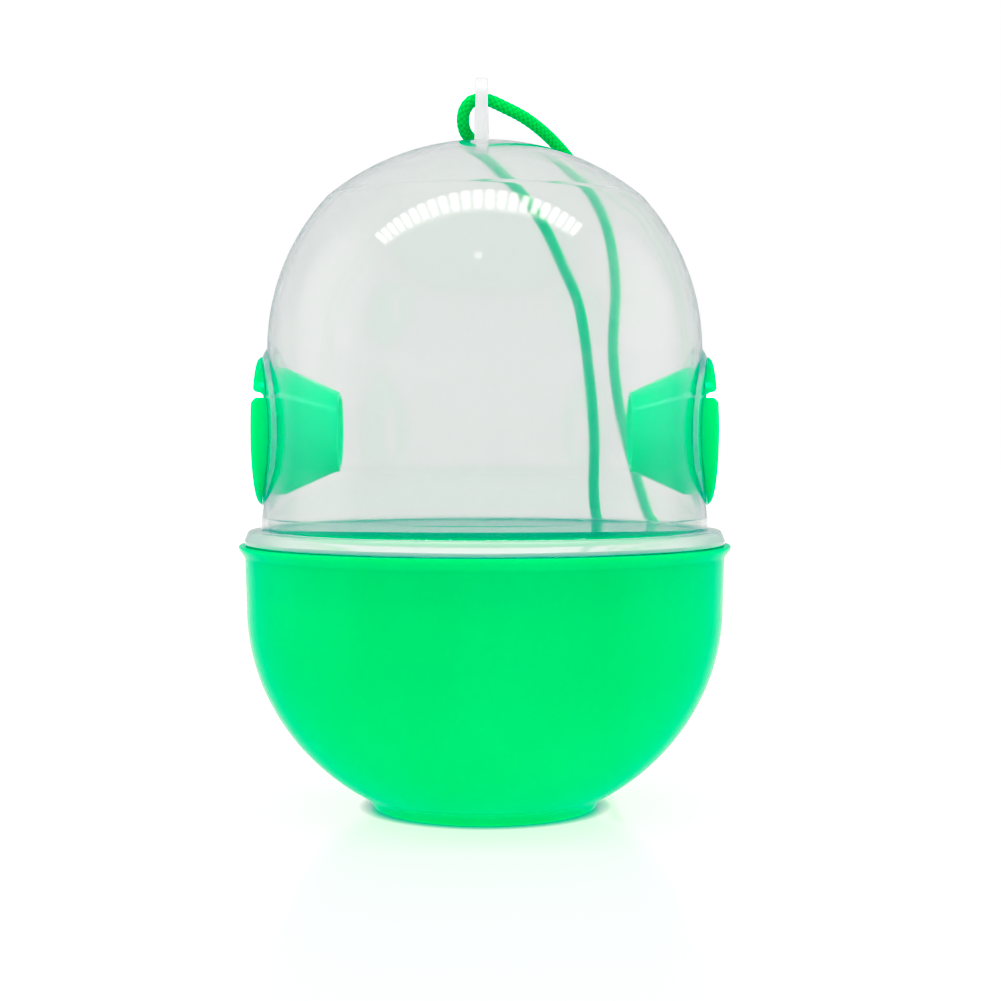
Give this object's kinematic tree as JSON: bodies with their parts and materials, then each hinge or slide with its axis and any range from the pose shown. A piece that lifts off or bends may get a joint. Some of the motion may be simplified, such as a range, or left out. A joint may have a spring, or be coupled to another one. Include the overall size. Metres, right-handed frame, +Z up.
{
  "type": "wasp trap",
  "caption": "Hanging wasp trap: a round bait bowl under a clear lift-off dome, with entry funnels pressed into its sides and a looped hanging cord.",
  "frame": {"origin": "middle of the foot's underside, on the axis of the bowl and dome", "axes": "+Z up along the axis of the bowl and dome; the entry funnels lie on the X axis; the cord hangs down the +Y side, which is the back"},
  "size_m": [0.1212, 0.1588, 0.18],
  "materials": {
    "bowl_plastic": "glossy, slightly translucent green",
    "dome_plastic": "glossy, milky clear",
    "funnel_plastic": "glossy, translucent green",
    "cord_fibre": "soft braided cord"
  },
  "bodies": {
    "bowl": {"bowl": "bowl_plastic"},
    "dome": {"dome": "dome_plastic", "hanging_cord": "cord_fibre", "cord_knot": "cord_fibre"},
    "left_entry_funnel": {"left_entry_funnel": "funnel_plastic"},
    "right_entry_funnel": {"right_entry_funnel": "funnel_plastic"}
  },
  "joints": [
    {"name": "dome_lift", "type": "slide", "parent": "bowl", "child": "dome", "axis": [0, 0, 1], "range_m": [0, 0.12]},
    {"name": "left_funnel_pull", "type": "slide", "parent": "dome", "child": "left_entry_funnel", "axis": [-1, 0, 0], "range_m": [0, 0.026]},
    {"name": "right_funnel_pull", "type": "slide", "parent": "dome", "child": "right_entry_funnel", "axis": [1, 0, 0], "range_m": [0, 0.026]}
  ]
}
